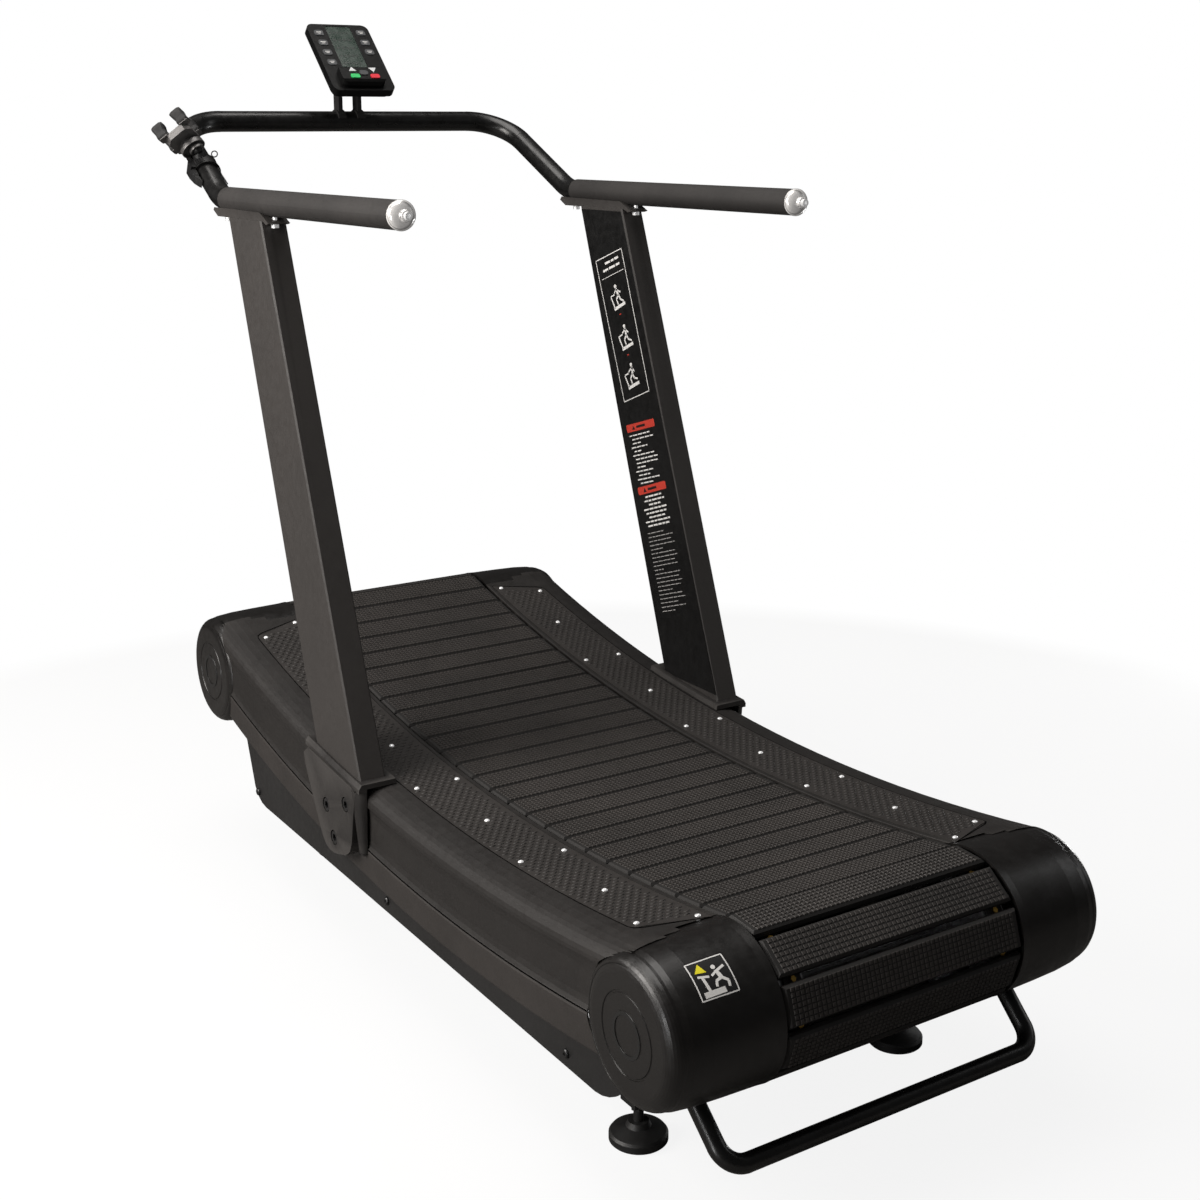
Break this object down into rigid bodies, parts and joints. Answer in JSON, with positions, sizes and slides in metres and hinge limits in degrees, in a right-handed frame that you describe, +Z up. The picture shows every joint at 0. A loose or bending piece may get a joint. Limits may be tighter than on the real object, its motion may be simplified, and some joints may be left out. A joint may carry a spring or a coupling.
{
  "type": "curved manual treadmill",
  "caption": "Curved manual treadmill: concave slat belt between moulded side covers, two leaning uprights, a bent handlebar with console and phone holder.",
  "frame": {"origin": "on the floor, midway between the left and right sides, 791 mm ahead of the rear drum axle", "axes": "+X to the user's right, +Y forwards to the console end, +Z up"},
  "size_m": [0.9091, 1.8732, 1.7289],
  "materials": {
    "frame_paint": "satin",
    "bearing_steel": "brushed",
    "drum_aluminium": "turned",
    "black_hardware": "semi-gloss",
    "textured_paint": "fine textured powder coat",
    "bracket_paint": "satin powder coat",
    "cap_plastic": "satin",
    "pad_plastic": "moulded grip pattern",
    "bright_screw": "polished",
    "bar_paint": "gloss",
    "grip_rubber": "matte",
    "bar_chrome": "polished",
    "console_plastic": "satin",
    "console_glass": "clear",
    "key_grey": "satin",
    "key_white": "satin",
    "key_green": "satin",
    "key_red": "satin",
    "slat_rubber": "fine stud grid",
    "foot_plastic": "matte",
    "wheel_rubber": "matte",
    "clamp_plastic": "satin",
    "cradle_plastic": "silver satin"
  },
  "bodies": {
    "frame": {"main_rails": "frame_paint", "crossmembers": "frame_paint", "bearing_rails": "frame_paint", "guide_bearings": "bearing_steel", "bearing_bolts": "bearing_steel", "legs": "frame_paint", "pillow_blocks": "bearing_steel", "step_rails": "frame_paint", "skirts": "frame_paint", "skirt_bolts": "black_hardware", "side_cover_left": "textured_paint", "side_cover_right": "textured_paint", "lower_trims": "textured_paint", "rear_cap_left": "cap_plastic", "rear_cap_right": "cap_plastic", "front_cap_left": "cap_plastic", "front_cap_right": "cap_plastic", "step_pad_left": "pad_plastic", "step_pad_right": "pad_plastic", "pad_screws": "bright_screw", "upright_left": "textured_paint", "upright_right": "textured_paint", "upright_brackets": "bracket_paint", "bracket_bolts": "black_hardware", "handlebar": "bar_paint", "grips": "grip_rubber", "bar_end_plugs": "bar_chrome", "bar_bolts": "bright_screw", "console_bracket": "frame_paint", "console_back": "console_plastic", "console_front": "console_plastic", "console_lens": "console_glass", "lift_handle": "bar_paint", "phone_clamp": "clamp_plastic"},
    "belt_top": {"slats_top": "slat_rubber"},
    "belt_front": {"slats_front": "slat_rubber"},
    "belt_bottom": {"slats_bottom": "slat_rubber"},
    "belt_rear": {"slats_rear": "slat_rubber"},
    "front_drum": {"front_drum": "drum_aluminium"},
    "rear_drum": {"rear_drum": "drum_aluminium"},
    "foot_rear_left": {"foot_rear_left": "foot_plastic"},
    "foot_rear_right": {"foot_rear_right": "foot_plastic"},
    "foot_front_left": {"foot_front_left": "foot_plastic"},
    "foot_front_right": {"foot_front_right": "foot_plastic"},
    "wheel_left": {"wheel_left": "wheel_rubber"},
    "wheel_right": {"wheel_right": "wheel_rubber"},
    "phone_cradle": {"phone_cradle": "cradle_plastic"},
    "phone_jaw": {"phone_jaw": "cradle_plastic"},
    "key_l1": {"key_l1": "key_grey"},
    "key_l2": {"key_l2": "key_grey"},
    "key_l3": {"key_l3": "key_grey"},
    "key_l4": {"key_l4": "key_grey"},
    "key_r1": {"key_r1": "key_grey"},
    "key_r2": {"key_r2": "key_grey"},
    "key_r3": {"key_r3": "key_grey"},
    "key_up": {"key_up": "key_white"},
    "key_down": {"key_down": "key_white"},
    "key_centre": {"key_centre": "key_grey"},
    "key_green": {"key_green": "key_green"},
    "key_red": {"key_red": "key_red"}
  },
  "joints": [
    {"name": "belt_travel", "type": "hinge", "parent": "frame", "child": "belt_top", "pos_m": [0, -0.195, 3.978], "axis": [1, 0, 0], "range_deg": [-0.5, 0.5]},
    {"name": "front_drum_turn", "type": "hinge", "parent": "frame", "child": "front_drum", "pos_m": [0, 0.789, 0.39309], "axis": [1, 0, 0], "range_deg": [-17.4, 17.4]},
    {"name": "rear_drum_turn", "type": "hinge", "parent": "frame", "child": "rear_drum", "pos_m": [0, -0.791, 0.30859], "axis": [1, 0, 0], "range_deg": [-17.4, 17.4]},
    {"name": "front_wrap_turn", "type": "hinge", "parent": "frame", "child": "belt_front", "pos_m": [0, 0.789, 0.39309], "axis": [1, 0, 0], "range_deg": [-17.4, 17.4]},
    {"name": "rear_wrap_turn", "type": "hinge", "parent": "frame", "child": "belt_rear", "pos_m": [0, -0.791, 0.30859], "axis": [1, 0, 0], "range_deg": [-17.4, 17.4]},
    {"name": "return_travel", "type": "slide", "parent": "frame", "child": "belt_bottom", "axis": [0, 0.9986, 0.0534], "range_m": [-0.0316, 0.0316]},
    {"name": "key_l1_press", "type": "slide", "parent": "frame", "child": "key_l1", "axis": [0, -0.7022, 0.712], "range_m": [-0.001, 0], "stiffness_N_per_m": 200, "springref_m": 0.0005},
    {"name": "key_l2_press", "type": "slide", "parent": "frame", "child": "key_l2", "axis": [0, -0.7022, 0.712], "range_m": [-0.001, 0], "stiffness_N_per_m": 200, "springref_m": 0.0005},
    {"name": "key_l3_press", "type": "slide", "parent": "frame", "child": "key_l3", "axis": [0, -0.7022, 0.712], "range_m": [-0.001, 0], "stiffness_N_per_m": 200, "springref_m": 0.0005},
    {"name": "key_l4_press", "type": "slide", "parent": "frame", "child": "key_l4", "axis": [0, -0.7022, 0.712], "range_m": [-0.001, 0], "stiffness_N_per_m": 200, "springref_m": 0.0005},
    {"name": "key_r1_press", "type": "slide", "parent": "frame", "child": "key_r1", "axis": [0, -0.7022, 0.712], "range_m": [-0.001, 0], "stiffness_N_per_m": 200, "springref_m": 0.0005},
    {"name": "key_r2_press", "type": "slide", "parent": "frame", "child": "key_r2", "axis": [0, -0.7022, 0.712], "range_m": [-0.001, 0], "stiffness_N_per_m": 200, "springref_m": 0.0005},
    {"name": "key_r3_press", "type": "slide", "parent": "frame", "child": "key_r3", "axis": [0, -0.7022, 0.712], "range_m": [-0.001, 0], "stiffness_N_per_m": 200, "springref_m": 0.0005},
    {"name": "key_up_press", "type": "slide", "parent": "frame", "child": "key_up", "axis": [0, -0.7022, 0.712], "range_m": [-0.001, 0], "stiffness_N_per_m": 200, "springref_m": 0.0005},
    {"name": "key_down_press", "type": "slide", "parent": "frame", "child": "key_down", "axis": [0, -0.7022, 0.712], "range_m": [-0.001, 0], "stiffness_N_per_m": 200, "springref_m": 0.0005},
    {"name": "key_centre_press", "type": "slide", "parent": "frame", "child": "key_centre", "axis": [0, -0.7022, 0.712], "range_m": [-0.001, 0], "stiffness_N_per_m": 200, "springref_m": 0.0005},
    {"name": "key_green_press", "type": "slide", "parent": "frame", "child": "key_green", "axis": [0, -0.7022, 0.712], "range_m": [-0.001, 0], "stiffness_N_per_m": 200, "springref_m": 0.0005},
    {"name": "key_red_press", "type": "slide", "parent": "frame", "child": "key_red", "axis": [0, -0.7022, 0.712], "range_m": [-0.001, 0], "stiffness_N_per_m": 200, "springref_m": 0.0005},
    {"name": "foot_rear_left_screw", "type": "slide", "parent": "frame", "child": "foot_rear_left", "axis": [0, 0, 1], "range_m": [-0.02, 0]},
    {"name": "foot_rear_right_screw", "type": "slide", "parent": "frame", "child": "foot_rear_right", "axis": [0, 0, 1], "range_m": [-0.02, 0]},
    {"name": "foot_front_left_screw", "type": "slide", "parent": "frame", "child": "foot_front_left", "axis": [0, 0, 1], "range_m": [-0.02, 0]},
    {"name": "foot_front_right_screw", "type": "slide", "parent": "frame", "child": "foot_front_right", "axis": [0, 0, 1], "range_m": [-0.02, 0]},
    {"name": "wheel_left_spin", "type": "hinge", "parent": "frame", "child": "wheel_left", "pos_m": [0, 0.783, 0.056], "axis": [1, 0, 0], "continuous": true},
    {"name": "wheel_right_spin", "type": "hinge", "parent": "frame", "child": "wheel_right", "pos_m": [0, 0.783, 0.056], "axis": [1, 0, 0], "continuous": true},
    {"name": "phone_swivel", "type": "hinge", "parent": "frame", "child": "phone_cradle", "pos_m": [-0.399, 0.73754, 1.47109], "axis": [-0.3116, 0.6389, 0.7034], "range_deg": [-8, 8]},
    {"name": "phone_jaw_slide", "type": "slide", "parent": "phone_cradle", "child": "phone_jaw", "axis": [-0.6307, -0.6927, 0.3498], "range_m": [0, 0.015]}
  ],
  "couplings": [
    {"joint": "front_drum_turn", "follows": "belt_travel", "ratio": -34.918},
    {"joint": "rear_drum_turn", "follows": "belt_travel", "ratio": -34.918},
    {"joint": "front_wrap_turn", "follows": "belt_travel", "ratio": -34.918},
    {"joint": "rear_wrap_turn", "follows": "belt_travel", "ratio": -34.918},
    {"joint": "return_travel", "follows": "belt_travel", "m_per_rad": -3.614}
  ]
}
